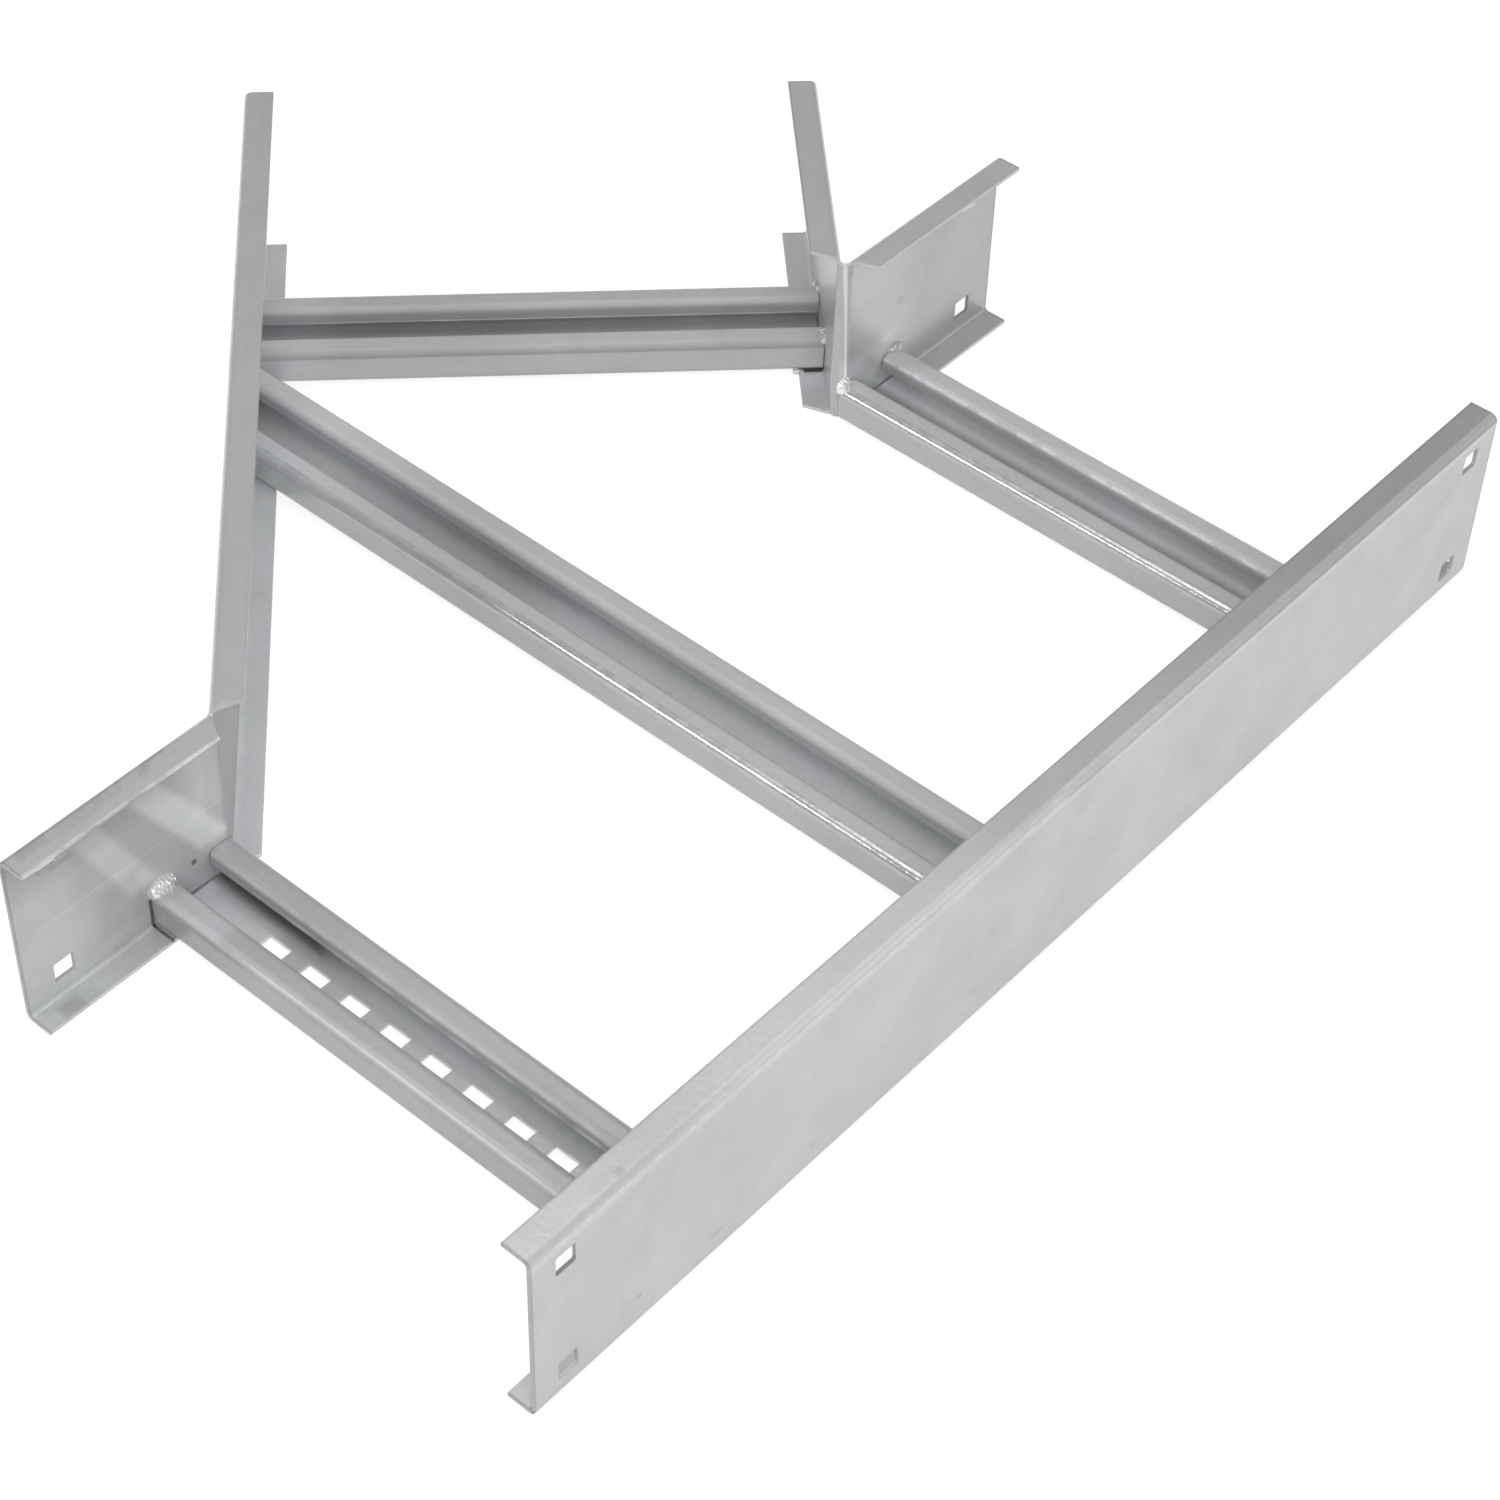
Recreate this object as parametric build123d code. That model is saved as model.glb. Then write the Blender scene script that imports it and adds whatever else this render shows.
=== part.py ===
from build123d import *
from math import cos, radians, sin, tan
import os

# A welded cable ladder fitting: a straight run with a branch that leaves it at an angle.
# X runs along the straight rail, Y across the run towards the branch, Z up.
# All lengths are in millimetres and all angles in degrees.

# Side rails: one bent C section, with its flanges on the cable side
rail_height = 100.0
rail_flange = 15.0
rail_sheet = 2.0
rail_bend = 2.0  # inside the bends between web and flanges
fold_radius = 2.0  # inside the upright folds at the branch
notch_angle = 26.0  # flange ends beside a fold, cut back from square

# Plan of the fitting, over the outer faces of the webs
tray_width = 300.0
branch_width = 296.0
branch_angle = 45.0
left_stub = 116.0  # left end of the run to the left fold
right_stub = 121.4  # right fold to the right end of the run
branch_reach = 154.0  # right fold to the end of the branch

# Square holes for the joint bolts, at every open rail end
bolt_hole = 11.0
bolt_hole_corner = 1.0
bolt_from_end = 19.0  # on the straight rail
folded_bolt_from_end = 21.5  # on the two rails that are folded
bolt_from_edge = 16.0

# Rungs: one lipped channel section, open upwards
rung_width = 48.0
rung_height = 20.0
rung_sheet = 2.0
rung_bend = 2.0
rung_lip = 14.0
rung_return = 7.5
rung_end_gap = 0.5  # left by the fitter between a rung's end and the web

# Places of the rungs
slotted_rung_overhang = 3.0  # far wall of the slotted rung past the left fold
branch_rung_gap = 3.5  # between the long rung's corner and the branch rung

# Slots in the floor of the slotted rung
slot_width = 7.0
slot_length = 14.0
slot_pitch = 24.5
slot_margin = 45.0  # least distance from a web's outer face to the first slot's middle
slot_offset = 1.8  # from the middle of the floor towards the fold

# Weld beads
bead_length = 14.0
bead_radius = 5.0
bead_overhang = 1.0  # of a bead on a lip, past the rung's wall
foot_bead_length = 12.0
foot_bead_radius = 4.0

# Sizes that follow from the ones above
turn_cos = cos(radians(branch_angle))
turn_sin = sin(radians(branch_angle))
mouth = branch_width / turn_sin
right_fold = left_stub + mouth
run_length = right_fold + right_stub
left_branch_length = branch_reach + branch_width / tan(radians(branch_angle))
web_inside = rail_sheet + rung_end_gap
rung_floor = rail_sheet
rung_top = rung_floor + rung_height

slotted_rung_x = left_stub + slotted_rung_overhang - rung_width / 2
end_rung_x = right_fold + rung_width / 2
long_rung_x = (slotted_rung_x + end_rung_x) / 2
long_rung_side = long_rung_x + rung_width / 2
long_rung_corner = ((long_rung_side - left_stub) * turn_sin - web_inside) / turn_cos
corner_reach = (long_rung_side - right_fold) * turn_cos + long_rung_corner * turn_sin
branch_rung_reach = corner_reach + branch_rung_gap + rung_width / 2


def sheet_section(corners, bend, thickness):
    """Section of a bent sheet, from the corners of its outer face taken clockwise."""
    outer_face = FilletPolyline(*corners, radius=bend + thickness)
    return make_face(offset(outer_face, amount=thickness, side=Side.RIGHT, closed=True))


def setback(turn):
    """Distance from the corner of two outer faces to where the fold between them starts."""
    return fold_radius * tan(radians(turn / 2))


# Each rail leg has a frame of its own: the fold corner at the origin, the leg along +X,
# the web's outer face at Y = 0 and the flanges towards +Y.

def bolt_holes(x):
    """The two square holes through the web at a place along a leg."""
    square = RectangleRounded(bolt_hole, bolt_hole, bolt_hole_corner)
    hole = extrude(Plane.XZ * square, 2 * rail_sheet, both=True)
    return [Pos(x, 0, z) * hole for z in (bolt_from_edge, rail_height - bolt_from_edge)]


def rail_leg(length, start=0.0):
    """A bent C section, from where its fold ends to its open end."""
    corners = [(rail_flange, 0), (0, 0), (0, rail_height), (rail_flange, rail_height)]
    section = Plane.YZ.offset(start) * sheet_section(corners, rail_bend, rail_sheet)
    return extrude(section, length - start)


def flange_notch(start):
    """The wedge that clears both flanges beside a fold."""
    past = rail_flange + rail_sheet
    slope = (past - rail_sheet) * tan(radians(notch_angle))
    corners = [(start, rail_sheet), (start + slope, past), (start - past, past), (start - past, rail_sheet)]
    return extrude(Polygon(*corners, align=None), rail_height)


def folded_leg(length, turn):
    """A leg that starts at a fold of the given turn."""
    start = setback(turn)
    return rail_leg(length, start) - flange_notch(start) - bolt_holes(length - folded_bolt_from_end)


def fold(turn):
    """The bent strip of web, from the leg along +X round to the other leg."""
    strip_height = rail_height - 2 * rail_sheet
    face = Pos(0, rail_height / 2) * Rectangle(rail_sheet, strip_height)
    reach = fold_radius + rail_sheet / 2
    strip = revolve(Plane.XZ * Pos(reach, 0) * face, Axis.Z, turn)
    return Pos(setback(turn), -fold_radius, 0) * Rot(0, 0, 90) * strip


def in_leg_frame(shape, corner, heading, opens_left):
    """Places what is drawn in a leg's frame at its fold corner, along its heading."""
    turned = shape if opens_left else mirror(shape, about=Plane.XZ)
    return Pos(*corner) * Rot(0, 0, heading) * turned


def on_straight_rail(shape):
    return in_leg_frame(shape, (0, 0), 0, True)


def on_left_stub(shape):
    return in_leg_frame(shape, (left_stub, tray_width), 180, True)


def on_left_branch(shape):
    return in_leg_frame(shape, (left_stub, tray_width), branch_angle, False)


def on_right_stub(shape):
    return in_leg_frame(shape, (right_fold, tray_width), 0, False)


def on_right_branch(shape):
    return in_leg_frame(shape, (right_fold, tray_width), branch_angle, True)


def straight_rail():
    leg = rail_leg(run_length) - bolt_holes(bolt_from_end) - bolt_holes(run_length - bolt_from_end)
    return on_straight_rail(leg)


def left_branch_rail():
    turn = branch_angle
    stub = on_left_stub(folded_leg(left_stub, turn))
    branch = on_left_branch(folded_leg(left_branch_length, turn))
    return stub + on_left_branch(fold(turn)) + branch


def right_branch_rail():
    turn = 180 - branch_angle
    stub = on_right_stub(folded_leg(right_stub, turn))
    branch = on_right_branch(folded_leg(branch_reach, turn))
    return stub + on_right_stub(fold(turn)) + branch


# Each rung has a frame of its own too: along +X from the outer face of the rail that it
# starts on, with its middle at Y = 0.

def rung_bar(length):
    """The lipped channel, open upwards."""
    side = rung_width / 2
    lip_edge = side - rung_lip
    return_end = rung_top - rung_return
    right_half = [(lip_edge, return_end), (lip_edge, rung_top), (side, rung_top), (side, rung_floor)]
    left_half = [(-y, z) for y, z in reversed(right_half)]
    section = sheet_section(right_half + left_half, rung_bend, rung_sheet)
    return extrude(Plane.YZ * section, length)


def rung_block(length):
    """The outer form of a rung, filled."""
    block = RectangleRounded(rung_width, rung_height, rung_bend + rung_sheet)
    return extrude(Plane.YZ * Pos(0, rung_floor + rung_height / 2) * block, length)


def rail_room(length):
    """What a rung leaves free along a rail, with room for the bend at the web's foot."""
    foot = rail_sheet + rail_bend
    corners = [(-rung_width, 0), (foot, 0), (foot, rail_sheet), (web_inside, foot)]
    corners += [(web_inside, rail_height), (-rung_width, rail_height)]
    return extrude(Plane.YZ.offset(-rung_width) * Polygon(*corners, align=None), length + rung_width)


def across_run(shape, x):
    """Places a rung that starts on the straight rail."""
    return Pos(x, 0, 0) * Rot(0, 0, 90) * shape


def across_branch(shape):
    """Places the rung that starts on the right branch rail."""
    start = (right_fold + branch_rung_reach * turn_cos, tray_width + branch_rung_reach * turn_sin)
    return Pos(*start) * Rot(0, 0, 90 + branch_angle) * shape


def floor_slots():
    """The row of square-ended slots in a floor, centred between the webs."""
    count = int((tray_width - 2 * slot_margin) / slot_pitch) + 1
    first = (tray_width - (count - 1) * slot_pitch) / 2
    slot = extrude(Rectangle(slot_length, slot_width), rung_floor + rung_sheet)
    return [Pos(first + i * slot_pitch, -slot_offset, 0) * slot for i in range(count)]


def slotted_rung():
    rung = across_run(rung_bar(tray_width) - floor_slots(), slotted_rung_x)
    return rung - on_straight_rail(rail_room(run_length)) - on_left_stub(rail_room(left_stub))


def end_rung():
    rung = across_run(rung_bar(tray_width), end_rung_x)
    return rung - on_straight_rail(rail_room(run_length)) - on_right_stub(rail_room(right_stub))


def long_rung_length():
    """Straight rail to the left branch rail, at the long rung's farther side."""
    return tray_width + (long_rung_side - left_stub) * turn_sin / turn_cos


def long_rung():
    """The rung across the mouth, cut at the branch angle where it meets the branch rail."""
    rung = across_run(rung_bar(long_rung_length()), long_rung_x)
    return rung - on_straight_rail(rail_room(run_length)) - on_left_branch(rail_room(left_branch_length))


def branch_rung():
    rung = across_branch(rung_bar(branch_width))
    return rung - on_right_branch(rail_room(branch_reach)) - on_left_branch(rail_room(left_branch_length))


# Weld beads are drawn in the frame of the rail leg that they lie on, and stop at the web
# and at the rung's outer form.

def rod(length, radius):
    """A straight bead along X with round ends, centred."""
    core = length - 2 * radius
    ends = [Pos(x, 0, 0) * Sphere(radius) for x in (-core / 2, core / 2)]
    return Rot(0, 90, 0) * Cylinder(radius, core) + ends


def inside_web(x):
    """The room on the flanges' side of the web, around a place along the leg."""
    room = 2 * bead_length
    return Pos(x, rail_sheet + room / 2, rail_height / 2) * Box(room, room, rail_height)


def lip_bead(wall, inwards):
    """A bead along the web on top of a rung's lip, from just past its wall."""
    x = wall + inwards * (bead_length / 2 - bead_overhang)
    return Pos(x, rail_sheet, rung_top) * rod(bead_length, bead_radius) & inside_web(x)


def wall_bead(wall):
    """An upright bead along the web, up the outside of a rung's wall."""
    z = rung_floor + rung_height / 2
    return Pos(wall, rail_sheet, z) * Rot(0, 90, 0) * rod(bead_length, bead_radius) & inside_web(wall)


def foot_bead(wall):
    """A bead across the bottom flange's edge, at the foot of a rung's wall."""
    bead = Pos(wall, rail_flange, rail_sheet) * Rot(0, 0, 90) * rod(foot_bead_length, foot_bead_radius)
    below = Pos(wall, rail_flange, -rail_height / 2) * Box(rail_flange, 2 * rail_flange, rail_height)
    flange = Pos(wall, rail_flange / 2, rail_sheet / 2) * Box(rail_flange, rail_flange, rail_sheet)
    return bead - below - flange


def along_left_branch(x):
    """Where a wall across the run meets the left branch rail, along that rail's leg."""
    return (x - left_stub - rail_sheet * turn_sin) / turn_cos


def slotted_rung_welds():
    """Beads on the near lip, and up the far wall where the web turns away from the lip."""
    near = slotted_rung_x - rung_width / 2
    far = slotted_rung_x + rung_width / 2
    block = across_run(rung_block(tray_width), slotted_rung_x)
    return {
        "weld_slotted_rung_straight_near": on_straight_rail(lip_bead(near, 1)) - block,
        "weld_slotted_rung_straight_far": on_straight_rail(wall_bead(far)) - block,
        "weld_slotted_rung_left_near": on_left_stub(lip_bead(left_stub - near, -1)) - block,
        "weld_slotted_rung_left_far": on_left_branch(wall_bead(along_left_branch(far))) - block,
    }


def lip_welds(rung, rail, on_leg, near, far, block):
    """Beads on both lips of a rung, from the places of its walls along a rail leg."""
    return {
        f"weld_{rung}_{rail}_near": on_leg(lip_bead(near, 1)) - block,
        f"weld_{rung}_{rail}_far": on_leg(lip_bead(far, -1)) - block,
    }


def long_rung_welds():
    near = long_rung_x - rung_width / 2
    far = long_rung_x + rung_width / 2
    near_on_branch = along_left_branch(near)
    far_on_branch = along_left_branch(far)
    block = across_run(rung_block(long_rung_length()), long_rung_x)
    welds = lip_welds("long_rung", "straight", on_straight_rail, near, far, block)
    return welds | lip_welds("long_rung", "left", on_left_branch, near_on_branch, far_on_branch, block)


def branch_rung_welds():
    near = branch_rung_reach - rung_width / 2
    far = branch_rung_reach + rung_width / 2
    lag = left_branch_length - branch_reach
    block = across_branch(rung_block(branch_width))
    welds = lip_welds("branch_rung", "right", on_right_branch, near, far, block)
    welds |= lip_welds("branch_rung", "left", on_left_branch, near + lag, far + lag, block)
    return welds | {"weld_branch_rung_right_foot": on_right_branch(foot_bead(near)) - block}


def end_rung_welds():
    near = end_rung_x - rung_width / 2
    far = end_rung_x + rung_width / 2
    block = across_run(rung_block(tray_width), end_rung_x)
    welds = lip_welds("end_rung", "straight", on_straight_rail, near, far, block)
    return welds | lip_welds("end_rung", "right", on_right_stub, near - right_fold, far - right_fold, block)


pieces = {
    "straight_rail": straight_rail(),
    "left_branch_rail": left_branch_rail(),
    "right_branch_rail": right_branch_rail(),
    "slotted_rung": slotted_rung(),
    "long_rung": long_rung(),
    "branch_rung": branch_rung(),
    "end_rung": end_rung(),
}
pieces |= slotted_rung_welds() | long_rung_welds() | branch_rung_welds() | end_rung_welds()

# The origin is at the middle of the fitting's box, on the floor that it lies on
box = Compound(list(pieces.values())).bounding_box()
to_origin = Pos(-box.center().X, -box.center().Y, -box.min.Z)

os.makedirs("parts", exist_ok=True)
for name, piece in pieces.items():
    export_step(to_origin * piece, f"parts/{name}.step")
    print(name, len(piece.solids()), round(piece.volume, 1), piece.is_valid)
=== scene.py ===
# %% [markdown]
# # A welded cable ladder fitting, dressed in Blender
#
# The real object is a steel fitting for cable ladders. Three bent side rails and four
# channel rungs are welded together, and all of it is coated with zinc. The shapes of the
# sheets come ready made from the CAD model. What is left to make here is what the eye
# reads as steel: cloudy zinc, soft edges, rippled weld beads, the light and the camera.

from math import sqrt

import bpy
from mathutils import Matrix, Vector


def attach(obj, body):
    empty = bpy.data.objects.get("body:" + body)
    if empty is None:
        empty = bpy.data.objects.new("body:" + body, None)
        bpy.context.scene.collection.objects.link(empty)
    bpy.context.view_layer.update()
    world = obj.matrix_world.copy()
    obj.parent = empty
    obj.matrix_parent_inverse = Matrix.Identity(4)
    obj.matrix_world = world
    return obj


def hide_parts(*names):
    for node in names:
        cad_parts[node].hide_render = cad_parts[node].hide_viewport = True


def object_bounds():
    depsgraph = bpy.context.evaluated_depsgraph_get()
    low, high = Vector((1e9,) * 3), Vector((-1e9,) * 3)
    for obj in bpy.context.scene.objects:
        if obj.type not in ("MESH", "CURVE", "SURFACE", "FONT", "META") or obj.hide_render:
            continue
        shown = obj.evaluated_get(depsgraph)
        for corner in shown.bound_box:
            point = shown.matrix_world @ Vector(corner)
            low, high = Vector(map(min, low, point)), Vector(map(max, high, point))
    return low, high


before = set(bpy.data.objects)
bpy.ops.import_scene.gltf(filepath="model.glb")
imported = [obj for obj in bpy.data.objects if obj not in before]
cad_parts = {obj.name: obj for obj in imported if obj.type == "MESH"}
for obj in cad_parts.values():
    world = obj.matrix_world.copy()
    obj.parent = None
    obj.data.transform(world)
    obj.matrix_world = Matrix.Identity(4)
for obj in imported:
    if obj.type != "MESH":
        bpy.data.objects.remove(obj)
cad_low, cad_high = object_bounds()
print("CAD nodes:", len(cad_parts))
print("CAD box in metres:", [round(b - a, 4) for a, b in zip(cad_low, cad_high)])

# %% [markdown]
# ## The sizes that the looks need
#
# The finish follows the fitting: streaks run along each sheet, and a bead sits where a
# rung meets a web. So a few sizes are repeated here, in millimetres, measured from the
# outer corner at the left end of the straight rail, where the slotted rung is near.

# %% Sizes of the fitting, in millimetres
MM = 0.001
TRAY_WIDTH = 300.0  # of the run, over its webs
BRANCH_WIDTH = 296.0  # of the branch, over its webs
LEFT_STUB = 116.0  # from the left end to the left fold
RIGHT_STUB = 121.4  # from the right fold to the right end
BRANCH_REACH = 154.0  # from the right fold along the branch
SHEET = 2.0  # thickness of the steel
RAIL_HEIGHT = 100.0
RAIL_FLANGE = 15.0
RUNG_WIDTH = 48.0
RUNG_TOP = 22.0  # height of a rung's lips above the floor
RUNG_CORNER = 4.0  # outer radius of a rung's bends
DIAGONAL = sqrt(0.5)  # sine and cosine of the branch's 45 degrees
RIGHT_FOLD = LEFT_STUB + BRANCH_WIDTH / DIAGONAL
RUN_LENGTH = RIGHT_FOLD + RIGHT_STUB
CORNER = Vector((cad_low.x, cad_low.y, cad_low.z))  # of the straight rail, in metres
print("Run of", round(RUN_LENGTH, 1), "mm, right fold at", round(RIGHT_FOLD, 1), "mm")

# %% [markdown]
# ## The rail legs
#
# A folded rail is two straight legs. Each leg gets a frame of its own: its first axis
# runs along the leg from the fold, its second leaves the web towards the flanges, and
# its third points up. Beads and finishes are then described once, in a leg's own words,
# and a matrix carries them to their place. Where the flanges lie on the other side, the
# second axis flips, which mirrors the leg.

# %% A matrix for each leg
LEFT_FOLD_PLACE = (LEFT_STUB, TRAY_WIDTH)
RIGHT_FOLD_PLACE = (RIGHT_FOLD, TRAY_WIDTH)
LEG_FRAMES = {  # start, along the leg and off its web
    "straight_rail": ((0.0, 0.0), (1.0, 0.0), (0.0, 1.0)),
    "left_stub": (LEFT_FOLD_PLACE, (-1.0, 0.0), (0.0, -1.0)),
    "left_branch": (LEFT_FOLD_PLACE, (DIAGONAL, DIAGONAL), (DIAGONAL, -DIAGONAL)),
    "right_stub": (RIGHT_FOLD_PLACE, (1.0, 0.0), (0.0, -1.0)),
    "right_branch": (RIGHT_FOLD_PLACE, (DIAGONAL, DIAGONAL), (-DIAGONAL, DIAGONAL)),
}


def frame_matrix(start, along, across):
    """Carries a place in a frame, in millimetres, to the fitting's frame, in metres."""
    turn = Matrix((
        (along[0], across[0], 0, 0),
        (along[1], across[1], 0, 0),
        (0, 0, 1, 0),
        (0, 0, 0, 1),
    ))
    scaled = Matrix.Translation(CORNER) @ Matrix.Scale(MM, 4)
    return scaled @ Matrix.Translation((*start, 0)) @ turn


def leg_matrix(leg):
    """The matrix of a rail's leg, by the leg's name."""
    return frame_matrix(*LEG_FRAMES[leg])


for leg in LEG_FRAMES:
    print(leg, "starts at", [round(v, 3) for v in leg_matrix(leg).translation])

# %% [markdown]
# ## The camera
#
# The photograph looks down across the straight rail from beyond its left end. The place,
# the turn and the lens were worked out from the straight edges of the rails, so they are
# given as they came out. The optical axis meets the picture 30 pixels left of its middle,
# which a small sideways shift of the lens reproduces.

# %% Camera
PICTURE = 1500  # width and height of the picture, in pixels
FOCAL_LENGTH = 3484.64  # in pixels of that picture
AXIS_FROM_LEFT = 720.0  # where the optical axis meets it
SENSOR_WIDTH = 36.0  # in millimetres
CAMERA_PLACE = (-0.86325, -0.85115, 1.15337)
CAMERA_RIGHT = (0.662735, -0.748637, 0.018015)
CAMERA_UP = (0.527979, 0.484187, 0.697711)
CAMERA_BACK = (-0.531055, -0.452886, 0.716152)

camera_data = bpy.data.cameras.new("camera")
camera_data.sensor_width = SENSOR_WIDTH
camera_data.lens = FOCAL_LENGTH / PICTURE * SENSOR_WIDTH
camera_data.shift_x = (PICTURE / 2 - AXIS_FROM_LEFT) / PICTURE
camera = bpy.data.objects.new("camera", camera_data)
turn = Matrix((CAMERA_RIGHT, CAMERA_UP, CAMERA_BACK)).transposed()
camera.matrix_world = Matrix.Translation(CAMERA_PLACE) @ turn.to_4x4()
bpy.context.scene.collection.objects.link(camera)
bpy.context.scene.camera = camera
print("Lens of", round(camera_data.lens, 2), "mm, shift", round(camera_data.shift_x, 3))

# %% [markdown]
# ## A helper for node trees
#
# Materials, the sky and the beads are all node trees. Writing each node on one line keeps
# them readable: the helper makes a node, sets its properties, and then either links or
# sets each input, depending on what it is given.


# %% One line for each node
def add(tree, kind, inputs=None, **properties):
    """Makes a node. An input is given by name or number, as a value or a socket to link."""
    made = tree.nodes.new(kind)
    for name, value in properties.items():
        setattr(made, name, value)
    for key, value in (inputs or {}).items():
        if isinstance(value, bpy.types.NodeSocket):
            tree.links.new(value, made.inputs[key])
        else:
            made.inputs[key].default_value = value
    return made


def calculate(tree, operation, *values):
    """A Math node's result."""
    return add(tree, "ShaderNodeMath", dict(enumerate(values)), operation=operation).outputs[0]


def on_vectors(tree, operation, *values):
    """A Vector Math node's result."""
    inputs = dict(enumerate(values))
    return add(tree, "ShaderNodeVectorMath", inputs, operation=operation).outputs[0]


def scaled_by(tree, vector, factor):
    """A vector or a colour times a number."""
    inputs = {0: vector, "Scale": factor}
    return add(tree, "ShaderNodeVectorMath", inputs, operation="SCALE").outputs[0]


MIX_SOCKETS = {"VECTOR": (0, 4, 5, 1), "RGBA": (0, 6, 7, 2)}  # factor, A, B and result


def mixed(tree, kind, factor, first, second):
    """A Mix node's result, for vectors or colours."""
    at_factor, at_first, at_second, at_result = MIX_SOCKETS[kind]
    inputs = {at_factor: factor, at_first: first, at_second: second}
    return add(tree, "ShaderNodeMix", inputs, data_type=kind).outputs[at_result]


print("Helpers for node trees are ready")

# %% [markdown]
# ## The studio
#
# Bare metal shows what stands around it, so the room is half of its finish. The webs of
# the fitting mirror the white floor, and the flanges mirror the room above, which is
# greyer: that is why the flanges look darker in the photograph. The sky is a plain run,
# brightest at the horizon and a little darker overhead, and dim as a whole. Camera rays
# see pure white instead.

# %% Sky
SKY_OVERHEAD = 0.8
SKY_STRENGTH = 0.34


def seen_directly(tree):
    """1 for rays from the camera, else 0."""
    return add(tree, "ShaderNodeLightPath").outputs["Is Camera Ray"]


world = bpy.data.worlds.new("studio")
world.use_nodes = True
sky = world.node_tree
sky.nodes.clear()
direction = add(sky, "ShaderNodeTexCoord").outputs["Generated"]
height = add(sky, "ShaderNodeSeparateXYZ", {0: direction}).outputs["Z"]
sky_range = {"From Min": 0.0, "From Max": 1.0, "To Min": 1.0, "To Max": SKY_OVERHEAD}
level = add(sky, "ShaderNodeMapRange", {"Value": height, **sky_range}).outputs[0]
room = add(sky, "ShaderNodeBackground", {"Color": level, "Strength": SKY_STRENGTH})
white = add(sky, "ShaderNodeBackground", {"Color": (1, 1, 1, 1), "Strength": 1.0})
seen = add(sky, "ShaderNodeMixShader",
           {0: seen_directly(sky), 1: room.outputs[0], 2: white.outputs[0]})
add(sky, "ShaderNodeOutputWorld", {"Surface": seen.outputs[0]})
bpy.context.scene.world = world
bpy.context.scene.view_settings.view_transform = "Standard"
print("Sky runs from 1 at the horizon to", SKY_OVERHEAD, "overhead")

# %% [markdown]
# The thin bright lines along the rungs' bends are a lamp mirrored in a rounded edge. A
# bend turns through a quarter circle, so somewhere on it there is a spot that sends one
# lamp to the camera. One soft lamp stands behind on the left for the bends of the rungs,
# and a second in front on the right for the bends of the rails. Two wide ones, by the
# camera and overhead, give the even light that the rest is seen in.


# %% Lamps
def soft_lamp(name, place, size, power):
    """A square lamp that faces the middle of the fitting."""
    data = bpy.data.lights.new(name, "AREA")
    data.size = size
    data.energy = power
    lamp = bpy.data.objects.new(name, data)
    facing = Vector(place).to_track_quat("Z", "Y")
    lamp.matrix_world = Matrix.Translation(place) @ facing.to_matrix().to_4x4()
    bpy.context.scene.collection.objects.link(lamp)
    return lamp


lamps = [  # name, place, width in metres and power in watts
    soft_lamp("lamp_behind_left", (-1.55, 0.95, 1.15), 0.4, 6.5),
    soft_lamp("lamp_front_right", (1.25, -1.6, 1.0), 0.3, 4.0),
    soft_lamp("lamp_by_the_camera", (-1.08, -1.06, 1.44), 1.4, 12.0),
    soft_lamp("lamp_overhead", (0.0, 0.0, 1.6), 1.0, 6.0),
]
print("Lamps:", [lamp.name for lamp in lamps])

# %% [markdown]
# ## The floor
#
# A pale floor carries the object and catches its soft shadow. It has to look white to the
# camera and in the metal, without a stronger light on the fitting. So a little light of
# its own is added, only for rays that come from the camera, a mirror or glass.

# %% Floor
FLOOR_SIZE = 30.0  # in metres
FLOOR_GREY = 0.5  # of its paint, which the lamps light
FLOOR_GLOW = 0.74  # added where the floor is seen or mirrored


def shows_in_picture(tree):
    """1 for rays from the camera, and for what metal or glass shows of the room."""
    path = add(tree, "ShaderNodeLightPath").outputs
    either = calculate(tree, "MAXIMUM", path["Is Camera Ray"], path["Is Glossy Ray"])
    return calculate(tree, "MAXIMUM", either, path["Is Transmission Ray"])


floor_paint = bpy.data.materials.new("floor_paint")
floor_paint.use_nodes = True
tree = floor_paint.node_tree
tree.nodes.clear()
matt = add(tree, "ShaderNodeBsdfDiffuse", {"Color": (FLOOR_GREY, FLOOR_GREY, FLOOR_GREY, 1)})
glow_level = calculate(tree, "MULTIPLY", shows_in_picture(tree), FLOOR_GLOW)
glow = add(tree, "ShaderNodeEmission", {"Color": (1, 1, 1, 1), "Strength": glow_level})
both = add(tree, "ShaderNodeAddShader", {0: matt.outputs[0], 1: glow.outputs[0]})
add(tree, "ShaderNodeOutputMaterial", {"Surface": both.outputs[0]})

half = FLOOR_SIZE / 2
corners = [(-half, -half, 0), (half, -half, 0), (half, half, 0), (-half, half, 0)]
floor_mesh = bpy.data.meshes.new("floor")
floor_mesh.from_pydata(corners, [], [(0, 1, 2, 3)])
floor_mesh.materials.append(floor_paint)
floor = bpy.data.objects.new("floor", floor_mesh)
bpy.context.scene.collection.objects.link(floor)
print("Floor of", FLOOR_SIZE, "m laid at the height of the bottom flanges")

# %% [markdown]
# ## The zinc finish
#
# Hot zinc leaves a satin grey coat. Close up it is never even: grey clouds a few
# centimetres wide, fine grains, and faint streaks along the way the sheet was rolled.
# An image could show that, but it would stretch over the bends. Noise in solid space
# needs no unwrapping. The group below takes a place in a sheet's own frame, so that the
# streaks follow each leg, and gives a colour, a roughness and a bump height.


# %% Noise and ranges
NOISE_RANGE = (0.3, 0.7)  # where most of a noise pattern's values lie


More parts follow.
